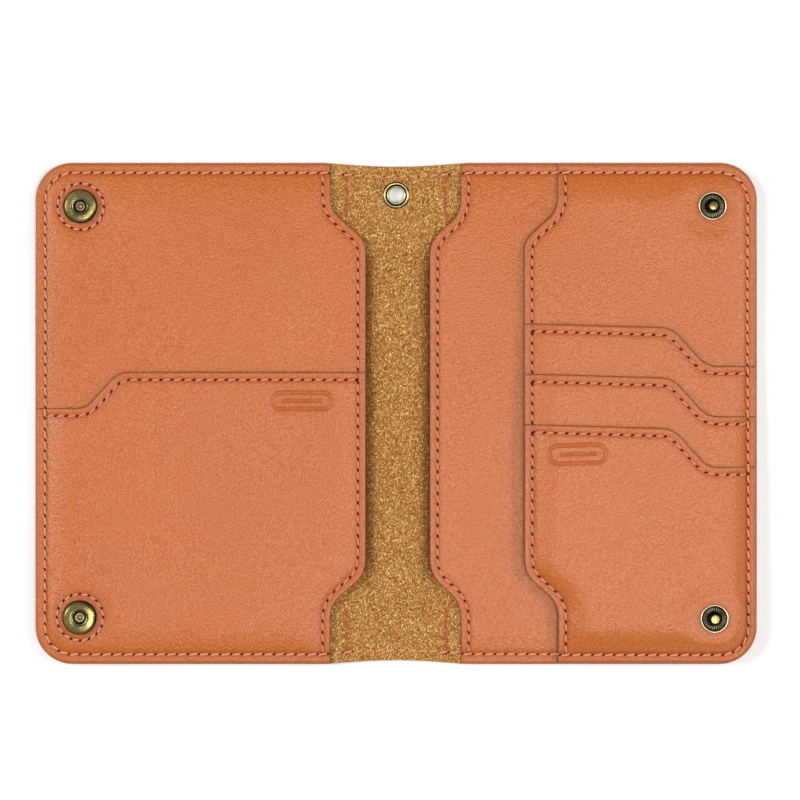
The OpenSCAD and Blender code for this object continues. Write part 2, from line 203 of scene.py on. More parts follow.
def offset(line, distance):
    """A line moved sideways, to the left of its own direction where distance is positive."""
    step = np.gradient(line, axis=0)
    step /= np.maximum(np.linalg.norm(step, axis=1, keepdims=True), 1e-9)
    return line + distance * np.stack([-step[:, 1], step[:, 0]], axis=1)


def resampled(line, spacing):
    """The line again with evenly spaced points."""
    along = np.concatenate([[0], np.cumsum(np.linalg.norm(np.diff(line, axis=0), axis=1))])
    at = np.linspace(0, along[-1], max(2, round(along[-1] / spacing) + 1))
    return np.stack([np.interp(at, along, line[:, k]) for k in range(2)], axis=1)


def clipped(line, low=-1e9, high=1e9):
    """The part of a line between two heights."""
    fine = resampled(line, 0.25)
    return fine[(fine[:, 1] >= low) & (fine[:, 1] <= high)]


# ---- seams ----

def perimeter_line():
    """The perimeter seam, once round from the middle of the head edge, clockwise."""
    r = CORNER_R - STITCH_IN
    x, y = HALF_W - CORNER_R, HALF_H - CORNER_R
    a = np.linspace(0, math.pi / 2, 16)
    corner = np.stack([x + r * np.sin(a), y + r * np.cos(a)], axis=1)
    top = np.stack([np.linspace(0, x, 120), np.full(120, y + r)], axis=1)
    quarter = np.concatenate([top, corner])
    half = np.concatenate([quarter, quarter[::-1] * [1, -1]])
    whole = np.concatenate([half, half[::-1] * [-1, 1]])
    whole[:, 1] -= np.sign(whole[:, 1]) * dip(whole[:, 0])
    return resampled(whole, 0.5)


PERIMETER = perimeter_line()
HEAD, TAIL = HALF_H - STITCH_IN, STITCH_IN - HALF_H
FRONT_HEM = clipped(offset(resampled(FRONT_MOUTH, 0.5), -HEM_IN), TAIL, HEAD)
BACK_HEM = clipped(offset(resampled(BACK_MOUTH, 0.5), HEM_IN), TAIL, HEAD)
CARD_HEM = clipped(offset(resampled(CARD_MOUTH, 0.5), HEM_IN), TAIL, HEAD)
OUTER_HEM = clipped(offset(resampled(OUTER_EDGE, 0.5), HEM_IN), TAIL, HEAD)


def between(line, low, high):
    return line[(line[:, 0] >= low) & (line[:, 0] <= high)]


TICKET_HEM = between(
    offset(resampled(TICKET_MOUTH, 0.5), -HEM_IN), STITCH_IN - HALF_W,
    FRONT_HEM[len(FRONT_HEM) // 2][0])
CARD_HEMS = [
    between(offset(resampled(m, 0.5), -HEM_IN), CARD_HEM[len(CARD_HEM) // 2][0], HALF_W - STITCH_IN)
    for m in CARD_MOUTHS]


def ring_line(x, y, r):
    a = np.linspace(0, 2 * math.pi, 49)
    return np.stack([x + r * np.cos(a), y + r * np.sin(a)], axis=1)


RING_R = 6.6
RINGS = [ring_line(-STUD_X, SNAP_HIGH_Y, RING_R), ring_line(-STUD_X, SNAP_LOW_Y, RING_R)]

# ---- how the layers lie ----

REST = 0.03        # gap between layers that are sewn together
PINCH_IN = 3.3     # the layers part this far inside the cut edge
PUFF_OVER = 10.0   # and are fully apart after this distance more
SIDE_IN = 2.7      # the same at a mouth that the layer is sewn along
SIDE_OVER = 8.0
PUFF_POWER = 2.4   # how quickly they part at first
WAVE = 0.16        # height of the leather's slow waves
SWELL = 0.38       # how far the leather stands up round a snap
SWELL_OVER = 6.0   # over this distance from the snap's edge
HOLD_OVER = 7.0    # a snap holds its layers flat under it, and lets them go over this distance
CURL_IN = 14       # a mouth that curls up starts to this far from head and tail
CURL_OVER = 18     # and is fully up after this distance more
CURL_W = 4         # how far into the sleeve the curl reaches
GROOVE = 0.22      # depth to which a seam pulls the leather in
GROOVE_W = 0.75
GROOVE_TONE_W = 0.9   # width of the darker tone along a groove
RIM = 0.3          # rounding of a cut edge
RIM_W = 0.7
RIM_BAND = 0.9     # burnished band along the outer edge
PAINT_BAND = 0.2   # edge paint that shows along a mouth
EMBOSS = 0.27      # depth of an embossed line
EMBOSS_W = 0.19
OUTLINE_STEP = 0.75  # between a label's two outlines
BAR_W = 0.5        # half the width of the bar inside a label
BAR_SHORT = 0.6    # how far the bar ends before the middles of the label's ends

SNAPS = [
    (-STUD_X, SNAP_HIGH_Y, SOCKET_R), (-STUD_X, SNAP_LOW_Y, SOCKET_R),
    (STUD_X, SNAP_HIGH_Y, STUD_R), (STUD_X, SNAP_LOW_Y, STUD_R)]


def near_snap(x, y, reach):
    """1 at a snap, 0 beyond its reach."""
    near = 0
    for sx, sy, r in SNAPS:
        near = np.maximum(near, 1 - smooth((np.hypot(x - sx, y - sy) - r - 0.2) / reach))
    return near


def swell(x, y, snap):
    """The leather's rise round one snap."""
    d = np.hypot(x - snap[0], y - snap[1]) - snap[2]
    return SWELL * smooth((d - 0.1) / SWELL_OVER) * np.exp(-(np.maximum(d, 0) / 16) ** 2)


def waves(x, y, turn):
    """Slow waves of an empty pocket, different for each layer."""
    return WAVE * (
        np.sin(x / 13 + turn) * np.sin(y / 17 + 2 * turn)
        + 0.6 * np.sin((x + y) / 9 + 3 * turn) * np.sin((x - y) / 21 + turn))


def eased(t):
    return 1 - (1 - np.clip(t, 0, 1)) ** PUFF_POWER


def puff(x, y, side_mouth):
    """How far a pocket is open at a point: 0 in its seams, 1 in its middle."""
    amount = eased((edge_in(x, y) - PINCH_IN) / PUFF_OVER)
    if side_mouth is not None:
        amount = amount * eased((far(x, y, side_mouth) - SIDE_IN) / SIDE_OVER)
    return amount


def half_name(side):
    return "front" if side < 0 else "back"


def half_body(side):
    return half_name(side) + "_half"


class Layer:
    """A leather layer: its outline, how it lies on the layer below, and the marks in its face."""

    def __init__(self, name, side, mouth, below, t, cut, turn, crossing=None, sewn_side=False,
                 seams=(), snap=None, lift=0.0):
        self.name, self.side, self.mouth, self.below = name, side, mouth, below
        self.t, self.cut, self.turn, self.crossing = t, cut, turn, crossing
        self.side_mouth = mouth if sewn_side else None
        self.seams, self.snap, self.lift = list(seams), snap, lift
        self.flat = box_mm(name)[0][2]
        self.mark = None

    def left(self, y):
        return -outer_x(y, self.cut) if self.side < 0 else across(self.mouth, y)

    def right(self, y):
        return across(self.mouth, y) if self.side < 0 else outer_x(y, self.cut)

    def bottom(self, x):
        return -(HALF_H - self.cut - dip(x))

    def top(self, x):
        return -self.bottom(x) if self.crossing is None else up(self.crossing, x)

    def holds(self, x, y):
        return (x >= self.left(y)) & (x <= self.right(y)) & (y <= self.top(x))

    def under(self, x, y):
        opening = puff(x, y, self.side_mouth)
        z = self.below(x, y) + REST + opening * (GAP - REST + waves(x, y, self.turn))
        if self.snap is not None:
            z = z + swell(x, y, self.snap)
        if self.lift:
            middle = smooth((HALF_H - CURL_IN - np.abs(y)) / CURL_OVER)
            z = z + self.lift * middle * np.exp(-far(x, y, self.mouth) / CURL_W)
        return z + (self.flat - z) * near_snap(x, y, HOLD_OVER) * np.sqrt(opening)

    def over(self, x, y):
        return self.under(x, y) + self.t

    def face(self, x, y):
        """The visible face, with its grooves and rounded edges."""
        z = self.over(x, y)
        for line in self.seams:
            z = z - GROOVE * np.exp(-(far(x, y, line) / GROOVE_W) ** 2)
        edge = np.minimum(edge_in(x, y) - self.cut, far(x, y, self.mouth))
        if self.crossing is not None:
            edge = np.minimum(edge, far(x, y, self.crossing))
        z = z - RIM * np.clip(1 - edge / RIM_W, 0, 1) ** 2
        if self.mark is not None:
            z = z - EMBOSS * self.mark(x, y)
        return z

    def marks(self, x, y):
        """Where the face's tone changes: grooves, painted shadow round a snap, burnished rim,
        painted mouths.
        """
        grooves_and_snap_shadow = np.zeros(x.shape)
        for line in self.seams:
            grooves_and_snap_shadow = np.maximum(grooves_and_snap_shadow, np.exp(-(far(x, y, line) / GROOVE_TONE_W) ** 2))
        if self.mark is not None:
            grooves_and_snap_shadow = np.maximum(grooves_and_snap_shadow, self.mark(x, y))
        # Painted contact shadow in a ring round the snap
        if self.snap is not None:
            past = np.hypot(x - self.snap[0], y - self.snap[1]) - self.snap[2]
            grooves_and_snap_shadow = np.maximum(grooves_and_snap_shadow, 0.8 * np.exp(-(np.maximum(past, 0) / 1.1) ** 2))
        mouth = far(x, y, self.mouth)
        if self.crossing is not None:
            mouth = np.minimum(mouth, far(x, y, self.crossing))
        rim = 1 - smooth((edge_in(x, y) - self.cut - RIM_BAND + 0.2) / 0.3)
        paint = 1 - smooth((mouth - PAINT_BAND / 2) / PAINT_BAND)
        return {DARK_GROOVES_AND_SNAP_SHADOW: grooves_and_snap_shadow, BURNISHED: rim, PAINTED: paint}


# Mesh attributes that the materials read: where a seam pulls the leather in, together with a
# painted contact shadow round a snap, where its rim is burnished, where a mouth is painted, and a
# painted shade on the fibre back next to the sleeves' mouths
DARK_GROOVES_AND_SNAP_SHADOW, BURNISHED, PAINTED, SHADE_NEXT_TO_MOUTHS = "dark_grooves_and_snap_shadow", "burnished", "painted", "worn"


def cover_over(x, y):
    return np.full(np.broadcast(x, y).shape, COVER_TOP)


FRONT_SLEEVE = Layer(
    "front_sleeve", -1, FRONT_MOUTH, cover_over, PANEL_T, 0.2, 0.3,
    seams=[PERIMETER, FRONT_HEM, RINGS[0]], snap=SNAPS[0], lift=0.5)
TICKET_POCKET = Layer(
    "ticket_pocket", -1, FRONT_MOUTH, FRONT_SLEEVE.over, PANEL_T, 0.35, 1.1, TICKET_MOUTH, True,
    seams=[PERIMETER, FRONT_HEM, TICKET_HEM, RINGS[1]], snap=SNAPS[1])
BACK_SLEEVE = Layer(
    "back_sleeve", 1, BACK_MOUTH, cover_over, PANEL_T, 0.2, 1.9,
    seams=[PERIMETER, BACK_HEM], lift=0.9)
CARD_PANEL = Layer(
    "card_panel", 1, CARD_MOUTH, BACK_SLEEVE.over, PANEL_T, 0.35, 2.6,
    seams=[PERIMETER, CARD_HEM], snap=SNAPS[2], lift=0.7)
CARD_POCKETS = []
CARD_NAMES = ("card_pocket_top", "card_pocket_middle", "card_pocket_bottom")
for i, pocket_name in enumerate(CARD_NAMES):
    CARD_POCKETS.append(Layer(
        pocket_name, 1, CARD_MOUTH, (CARD_POCKETS[-1] if i else CARD_PANEL).over, CARD_T,
        0.5 + 0.15 * i, 3.3 + 0.8 * i, CARD_MOUTHS[i], True,
        seams=[PERIMETER, CARD_HEM, CARD_HEMS[i]], snap=SNAPS[3] if i == 2 else None))

LAYERS = [FRONT_SLEEVE, TICKET_POCKET, BACK_SLEEVE, CARD_PANEL, *CARD_POCKETS]


def surface(x, y):
    """Height of the uppermost leather."""
    z = cover_over(x, y)
    for layer in LAYERS:
        z = np.where(layer.holds(x, y), layer.over(x, y), z)
    return z


# ---- blank embossed labels ----

class Label:
    """A capsule with a double outline round a plain bar, turned by angle."""

    def __init__(self, x, y, length, height, angle=0.0):
        self.x, self.y, self.length, self.height = x, y, length, height
        self.angle = math.radians(angle)

    def __call__(self, x, y):
        c, s = math.cos(self.angle), math.sin(self.angle)
        u = (x - self.x) * c + (y - self.y) * s
        v = (y - self.y) * c - (x - self.x) * s
        run = (self.length - self.height) / 2
        d = np.hypot(np.maximum(np.abs(u) - run, 0), v)
        lines = np.zeros(np.broadcast(x, y).shape)
        for r in (self.height / 2, self.height / 2 - OUTLINE_STEP):
            lines = np.maximum(lines, np.exp(-((d - r) / EMBOSS_W) ** 2))
        bar = np.hypot(np.maximum(np.abs(u) - (run - BAR_SHORT), 0), v)
        lines = np.maximum(lines, np.exp(-(bar / BAR_W) ** 2))
        return lines


TICKET_POCKET.mark = Label(-26.6, 3.6, 17.4, 5.4)
CARD_POCKETS[2].mark = Label(50.9, -11.4, 16.8, 5.9, 1.5)

# ---- materials ----


def rgb(r, g, b):
    """An sRGB colour of 0 to 255 as Blender's linear RGBA."""
    def linear(v):
        v /= 255
        return v / 12.92 if v <= 0.04045 else ((v + 0.055) / 1.055) ** 2.4
    return (linear(r), linear(g), linear(b), 1.0)


class Shader:
    """A Principled material with short calls for the nodes that feed it."""

    def __init__(self, name, roughness=0.5, metallic=0.0, specular=0.5, sheen=0.0):
        self.material = bpy.data.materials.new(name)
        self.material.use_nodes = True
        self.nodes = self.material.node_tree.nodes
        self.links = self.material.node_tree.links
        self.bsdf = self.nodes["Principled BSDF"]
        self.bsdf.inputs["Roughness"].default_value = roughness
        self.bsdf.inputs["Metallic"].default_value = metallic
        self.bsdf.inputs["Specular IOR Level"].default_value = specular
        self.bsdf.inputs["Sheen Weight"].default_value = sheen
        self.place = self.nodes.new("ShaderNodeTexCoord").outputs["Object"]

    def node(self, kind, inputs, **values):
        """A new node. Each of its inputs takes a value or a link."""
        n = self.nodes.new(kind)
        for key, value in values.items():
            setattr(n, key, value)
        for key, value in inputs.items():
            if isinstance(value, bpy.types.NodeSocket):
                self.links.new(value, n.inputs[key])
            else:
                n.inputs[key].default_value = value
        return n

    def noise(self, size, detail=2.0, roughness=0.5, stretch=(1, 1, 1)):
        """Noise whose features are about size millimetres."""
        mapping = self.node("ShaderNodeMapping", {"Scale": stretch, "Vector": self.place})
        return self.node("ShaderNodeTexNoise", {
            "Scale": 1 / (size * MM), "Detail": detail, "Roughness": roughness,
            "Vector": mapping.outputs["Vector"]}).outputs["Fac"]

    def cells(self, size, feature="F1"):
        """Voronoi cells about size millimetres across."""
        inputs = {"Scale": 1 / (size * MM), "Vector": self.place}
        return self.node("ShaderNodeTexVoronoi", inputs, feature=feature).outputs["Distance"]

    def ramp(self, value, *stops):
        """Colours at positions from 0 to 1 along value."""
        n = self.node("ShaderNodeValToRGB", {"Fac": value})
        elements = n.color_ramp.elements
        for at, colour in stops[2:]:
            elements.new(at)
        for e, (at, colour) in zip(elements, sorted(stops)):
            e.position, e.color = at, colour
        return n.outputs["Color"]

    def marked(self, attribute):
        return self.node("ShaderNodeAttribute", {}, attribute_name=attribute).outputs["Fac"]

    def scaled(self, value, low, high, from_low=0.3, from_high=0.7):
        return self.node("ShaderNodeMapRange", {
            "From Min": from_low, "From Max": from_high, "To Min": low, "To Max": high,
            "Value": value}).outputs["Result"]

    def mix(self, factor, a, b, blend="MIX"):
        inputs = {0: factor, 6: a, 7: b}
        return self.node("ShaderNodeMix", inputs, data_type="RGBA", blend_type=blend).outputs[2]

    def bump(self, height, depth, strength=1.0, below=None):
        """Relief of depth millimetres."""
        inputs = {"Strength": strength, "Distance": depth * MM, "Height": height}
        if below is not None:
            inputs["Normal"] = below
        return self.node("ShaderNodeBump", inputs).outputs["Normal"]

    def done(self, colour, normal=None, roughness=None):
        for key, value in (("Base Color", colour), ("Normal", normal), ("Roughness", roughness)):
            if value is not None:
                self.links.new(value, self.bsdf.inputs[key])
        return self.material


def leather_material(name, deep, plain, pale):
    """Coated leather: fine pebble grain, slow changes of tone and a satin coat."""
    s = Shader(name, roughness=0.35, specular=0.58)
    slow = s.noise(34, 2)
    fine = s.noise(0.46, 2, 0.6)
    tone = s.mix(s.scaled(slow, 0.0, 1.0, 0.25, 0.75), deep, plain)
    # Pale specks: partly the grain's own tone, partly painted glints of the coat's sheen
    tone = s.mix(s.scaled(fine, 0.0, 0.75, 0.4, 0.62), tone, pale)
    # Darker along seam grooves and label lines, and a painted contact shadow round a snap
    tone = s.mix(s.scaled(s.marked(DARK_GROOVES_AND_SNAP_SHADOW), 0.0, 0.8, 0, 1), tone, rgb(170, 70, 14))
    tone = s.mix(s.scaled(s.marked(BURNISHED), 0.0, 0.5, 0, 1), tone, rgb(150, 74, 24))
    tone = s.mix(s.scaled(s.marked(PAINTED), 0.0, 0.9, 0, 1), tone, rgb(84, 66, 56))
    normal = s.bump(s.noise(0.66, 2, 0.6), 0.22)
    normal = s.bump(s.cells(0.8, "SMOOTH_F1"), 0.08, 0.8, normal)
    normal = s.bump(s.noise(9, 2), 0.25, 0.35, normal)
    return s.done(tone, normal, s.scaled(s.noise(1.4, 3), 0.28, 0.42))


def fibre_material(name):
    """The leather's speckled fibre back."""
    s = Shader(name, roughness=0.92, specular=0.25, sheen=0.15)
    fibres = s.noise(0.5, 4, 0.7)
    flecks = s.noise(0.32, 2, 0.5, (1.0, 0.6, 1.0))
    clumps = s.noise(2.6, 3, 0.6)
    tone = s.ramp(
        fibres, (0.36, rgb(88, 48, 10)), (0.45, rgb(150, 92, 32)),
        (0.56, rgb(186, 126, 54)), (0.66, rgb(220, 176, 104)))
    tone = s.mix(s.scaled(flecks, 0.0, 1.0, 0.58, 0.68), tone, rgb(252, 228, 160))
    tone = s.mix(s.scaled(clumps, 0.0, 0.3), tone, rgb(160, 104, 46))
    # Painted shade: the fibre back darkens next to the raised sleeve mouths
    tone = s.mix(s.marked(SHADE_NEXT_TO_MOUTHS), tone, rgb(178, 146, 106), "MULTIPLY")
    normal = s.bump(fibres, 0.22, 0.9)
    normal = s.bump(s.noise(0.22, 2), 0.1, 0.7, normal)
    return s.done(tone, normal)


def edge_material(name, deep, pale, roughness):
    """A cut edge, burnished and painted, with traces of its layers."""
    s = Shader(name, roughness=roughness, specular=0.5)
    layers = s.noise(0.5, 3, 0.6, (0.15, 0.15, 3.0))
    tone = s.ramp(layers, (0.35, deep), (0.65, pale))
    normal = s.bump(layers, 0.08, 0.6)
    normal = s.bump(s.noise(0.35, 3), 0.04, 0.6, normal)
    return s.done(tone, normal)


def thread_material(name, deep, pale):
    """Twisted thread."""
    s = Shader(name, roughness=0.55, specular=0.4, sheen=0.3)
    inputs = {"Scale": 900, "Distortion": 1.5, "Vector": s.place}
    wave = s.node("ShaderNodeTexWave", inputs, wave_type="BANDS", bands_direction="DIAGONAL")
    twist, fuzz = wave.outputs["Fac"], s.noise(0.16, 3)
    tone = s.mix(s.scaled(twist, 0.0, 1.0, 0.2, 0.8), deep, pale)
    tone = s.mix(s.scaled(fuzz, 0.0, 0.3), tone, deep)
    return s.done(tone, s.bump(twist, 0.08, 0.8, s.bump(fuzz, 0.04, 0.6)))


def metal_material(name, deep, plain, bright, roughness):
    """Antiqued brass: worn bright over a darker patina."""
    s = Shader(name, roughness=roughness, metallic=1.0)
    patina = s.noise(4.5, 2, 0.5)
    tone = s.ramp(patina, (0.3, deep), (0.5, plain), (0.7, bright))
    normal = s.bump(s.noise(0.4, 3, 0.6), 0.006, 0.5)
    return s.done(tone, normal, s.scaled(s.noise(0.8, 3), roughness - 0.06, roughness + 0.08))


def hole_shade_material(name):
    """The inside of a needle hole, painted dark as its shade."""
    s = Shader(name, roughness=0.95, specular=0.1)
    return s.done(s.ramp(s.noise(0.3, 2), (0.35, rgb(58, 18, 3)), (0.65, rgb(112, 42, 10))))


LEATHER = leather_material("tan_leather", rgb(177, 82, 9), rgb(182, 87, 13), rgb(204, 120, 54))
FIBRE = fibre_material("leather_back")
EDGE = edge_material("painted_edge", rgb(150, 78, 34), rgb(196, 118, 66), 0.42)
MOUTH_EDGE = edge_material("dark_edge", rgb(50, 44, 44), rgb(90, 68, 54), 0.55)
THREAD = thread_material("thread", rgb(204, 108, 52), rgb(244, 180, 128))
HEM_THREAD = thread_material("hem_thread", rgb(200, 100, 44), rgb(240, 160, 108))
RED_THREAD = thread_material("thread_on_fibre", rgb(160, 54, 14), rgb(206, 92, 40))
HOLE_SHADE = hole_shade_material("needle_hole_shade")
BRASS = metal_material(
    "antique_brass", rgb(126, 110, 66), rgb(154, 138, 84), rgb(184, 168, 108), 0.26)
# The pale brass below is a painted highlight on upturned tops; the near-black one is painted shade
# on walls, bores, flute troughs and the ball's flank
LIT_BRASS = metal_material(
    "painted_highlight_brass", rgb(214, 194, 132), rgb(240, 224, 170), rgb(255, 246, 208), 0.36)
SHADED_BRASS = metal_material("painted_shade_brass", rgb(16, 13, 8), rgb(34, 29, 18), rgb(66, 56, 34), 0.45)
SPRING_STEEL = metal_material(
    "spring_steel", rgb(150, 146, 132), rgb(200, 196, 180), rgb(236, 232, 216), 0.36)
GREY_BRASS = metal_material(
    "grey_brass", rgb(120, 112, 94), rgb(160, 150, 128), rgb(196, 188, 166), 0.4)

# ---- meshes ----


def new_object(name, data):
    obj = bpy.data.objects.new(name, data)
    bpy.context.scene.collection.objects.link(obj)
    return obj


def add_mesh(name, points, faces, materials, slots):
    """A mesh object from points in millimetres."""
    mesh = bpy.data.meshes.new(name)
    mesh.from_pydata((np.asarray(points) * MM).tolist(), [], [list(f) for f in faces])
    for m in materials:
        mesh.materials.append(m)
    mesh.polygons.foreach_set("material_index", np.asarray(slots, np.int32))
    mesh.polygons.foreach_set("use_smooth", np.full(len(mesh.polygons), True))
    mesh.update()
    return new_object(name, mesh)


def ticks(length, step, dense=()):
    """Positions from 0 to length: closest together at both ends and in the dense stretches."""
    ends = np.concatenate([[0, 0.1, 0.2, 0.3], np.arange(0.5, 4, 0.3), np.arange(4.2, 12, 0.8)])
    ends = ends[ends < length / 2]
    middle = np.linspace(ends[-1], length - ends[-1], max(3, round((length - 2 * ends[-1]) / step)))
    parts = [ends, middle, length - ends]
    parts += [np.arange(a, b, d) for a, b, d in dense]
    at = np.unique(np.round(np.concatenate(parts), 4))
    kept = [at[0]]
    for a in at[1:-1]:
        if a - kept[-1] > 0.08:
            kept.append(a)
    if at[-1] - kept[-1] < 0.08:
        kept.pop()
    return np.array([*kept, at[-1]])


def sheet_grid(left, right, bottom, top, columns, rows):
    """Points of a grid between four edges, given shares of its width and height."""
    x_low = left(bottom(0.0)) + (right(bottom(0.0)) - left(bottom(0.0))) * columns
    at_left, at_right = left(0.0), right(0.0)
    for _ in range(4):
        at_left, at_right = left(top(at_left)), right(top(at_right))
    x_high = at_left + (at_right - at_left) * columns
    y = bottom(x_low)[None, :] * (1 - rows[:, None]) + top(x_high)[None, :] * rows[:, None]
    lo, hi = left(y), right(y)
    return lo + (hi - lo) * columns[None, :], y


def closed_sheet(name, x, y, z_top, z_low, materials, edge_slot=1, flat_side=None, marks=None):
    """A closed sheet from two height grids. Its top takes slot 0, its underside slot 2.

    edge_slot is one slot, or one for each side. marks are attributes of the top.
    """
    n_v, n_u = x.shape
    grid = np.arange(n_v * n_u).reshape(n_v, n_u)
    points = np.concatenate([
        np.stack([x, y, z_top], axis=-1).reshape(-1, 3),
        np.stack([x, y, z_low], axis=-1).reshape(-1, 3)])
    quads = np.stack([grid[:-1, :-1], grid[:-1, 1:], grid[1:, 1:], grid[1:, :-1]], axis=-1)
    quads = quads.reshape(-1, 4)
    under = quads[:, ::-1] + n_v * n_u
    sides = {
        "tail": grid[0, :], "right": grid[:, -1], "head": grid[-1, ::-1], "left": grid[::-1, 0]}
    faces, slots = [quads, under], [np.zeros(len(quads)), np.full(len(under), 2)]
    for key, loop in sides.items():
        a, b = loop[:-1], loop[1:]
        wall = np.stack([a, a + n_v * n_u, b + n_v * n_u, b], axis=-1)
        faces.append(wall)
        slot = edge_slot[key] if isinstance(edge_slot, dict) else edge_slot
        slots.append(np.full(len(wall), slot))
    obj = add_mesh(name, points, np.concatenate(faces), materials, np.concatenate(slots))
    if flat_side is not None:
        sharpen(obj, flat_side)
    for key, grid_of in (marks or {}).items():
        both = np.concatenate([grid_of.ravel(), np.zeros(grid_of.size)])
        shade = obj.data.attributes.new(key, "FLOAT", "POINT")
        shade.data.foreach_set("value", both.astype(np.float32))
    return obj


def sharpen(obj, x_mm):
    """Keeps shading from rounding off the edges that lie at x_mm."""
    mesh = obj.data
    co = np.zeros(len(mesh.vertices) * 3)
    mesh.vertices.foreach_get("co", co)
    at = np.abs(co.reshape(-1, 3)[:, 0] - x_mm * MM) < 1e-6
    ends = np.zeros(len(mesh.edges) * 2, np.int32)
    mesh.edges.foreach_get("vertices", ends)
    ends = ends.reshape(-1, 2)
    sharp = mesh.attributes.new("sharp_edge", "BOOLEAN", "EDGE")
    sharp.data.foreach_set("value", at[ends[:, 0]] & at[ends[:, 1]])


SNAP_FINE = 9.0   # the mesh is fine this far round a snap


def panel(layer, body, replaced):
    """One pocket or sleeve as a closed sheet that rides on its body and lies on another."""
    width = HALF_W - abs(layer.mouth[:, 0]).min()
    tall = layer.top(layer.side * 60.0) - layer.bottom(layer.side * 60.0)
    dense_x, dense_y = [], []
    if layer.mark is not None:
        at = layer.mark.x - layer.left(layer.mark.y)
        half = layer.mark.length / 2 + 0.6
        dense_x = [(at - half, at + half, 0.17)]
        at = layer.mark.y - layer.bottom(layer.mark.x)
        half = layer.mark.height / 2 + 0.6
        full = layer.top(layer.mark.x) - layer.bottom(layer.mark.x)
        dense_y = [((at - half) * tall / full, (at + half) * tall / full, 0.17)]
    if layer.snap is not None:
        at = abs(layer.snap[0]) - abs(layer.mouth[:, 0]).min()
        at = width - at if layer.side < 0 else at
        dense_x.append((at - SNAP_FINE, at + SNAP_FINE, 0.4))
        at = layer.snap[1] - layer.bottom(layer.snap[0])
        full = layer.top(layer.snap[0]) - layer.bottom(layer.snap[0])
        dense_y.append(((at - SNAP_FINE) * tall / full, (at + SNAP_FINE) * tall / full, 0.4))
    columns = ticks(width, 1.5, dense_x) / width
    rows = ticks(tall, 1.3, dense_y) / tall
    x, y = sheet_grid(layer.left, layer.right, layer.bottom, layer.top, columns, rows)
    z_low = layer.under(x, y)
    z_top = np.maximum(layer.face(x, y), z_low + 0.12)
    outer, inner = ("left", "right") if layer.side < 0 else ("right", "left")
    slots = {outer: 1, inner: 3, "tail": 1, "head": 1 if layer.crossing is None else 3}
    obj = closed_sheet(
        layer.name + "_leather", x, y, z_top, z_low, [LEATHER, EDGE, FIBRE, MOUTH_EDGE], slots,
        marks=layer.marks(x, y))
    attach(obj, body)
    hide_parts(*replaced)


for a_layer in LAYERS:
    under = [other.name for other in LAYERS if other.side == a_layer.side]
    place = under.index(a_layer.name)
    on = under[place - 1] + "_leather" if place else "cover_leather_" + half_name(a_layer.side)
    panel(a_layer, half_body(a_layer.side), [a_layer.name, a_layer.name + "_margin"])

# The cover: two halves that meet in the middle of the spine, each crossing one fold line
FACE_RISE = 0.1      # outside face above the floor, so that its thread doesn't stand on it
SHADE_REACH = 52      # the painted shade next to the mouths ends this far from the middle
SHADE_FADE = 12


def eyelet_notch(y):
    r = (EYELET_R + EYELET_HOLE_R) / 2 - 0.6
    return np.sqrt(np.maximum(r * r - (y - EYELET_Y) ** 2, 0))


def half_grid(side, inner, columns, rows):
    """The grid of a full-height sheet from its inner edge to the outer edge of one half."""
    def outer(y):
        return side * outer_x(y, 0.0)

    left, right = (outer, inner) if side < 0 else (inner, outer)
    return sheet_grid(
        left, right, lambda x: dip(x) - HALF_H, lambda x: HALF_H - dip(x), columns, rows)


def cover_half(side):
    width = HALF_W
    near_eyelet = EYELET_Y + HALF_H
    fine = 24
    near_spine = (0, fine, 0.9) if side > 0 else (width - fine, width, 0.9)
    columns = ticks(width, 1.8, [near_spine]) / width
    rows = ticks(2 * HALF_H, 1.6, [(near_eyelet - 3.2, near_eyelet + 3.2, 0.2)]) / (2 * HALF_H)

    x, y = half_grid(side, lambda y: side * eyelet_notch(y), columns, rows)
    z_top = cover_over(x, y)
    for line in (PERIMETER, OUTER_HEM * [side, 1]):
        z_top = z_top - 0.8 * GROOVE * np.exp(-(far(x, y, line) / GROOVE_W) ** 2)
    z_top = z_top - RIM * np.clip(1 - edge_in(x, y) / RIM_W, 0, 1) ** 2
    mouth = FRONT_MOUTH if side < 0 else BACK_MOUTH
    # Painted shade on the fibre next to each sleeve's mouth, where the raised mouth shades it
    shade_next_to_mouth = np.exp(-(np.maximum(abs(mouth[:, 0]).min() + 0.5 - np.abs(x), 0) / 2.9) ** 2)
    z_low = np.full(x.shape, OUTER_T + 0.02) + 0.3 * np.clip(1 - edge_in(x, y) / 0.8, 0, 1) ** 2
    obj = closed_sheet(
        "cover_leather_" + half_name(side), x, y, z_top, z_low,
        [FIBRE, EDGE, LEATHER], flat_side=0.0,
        marks={SHADE_NEXT_TO_MOUTHS: shade_next_to_mouth * smooth((SHADE_REACH - np.abs(y)) / SHADE_FADE)})
    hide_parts("cover_" + half_name(side), "cover_spine")
    "outer_panel_" + half_name(side) + "_leather"
    return obj


def bend_with_spine(obj, side):
    """Bakes the piece's placement into its mesh. It crosses the fold line on one side of the spine.
    """
    if side < 0:
        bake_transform(obj)
    else:
        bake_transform(obj)


for side in (-1, 1):
    bend_with_spine(cover_half(side), side)


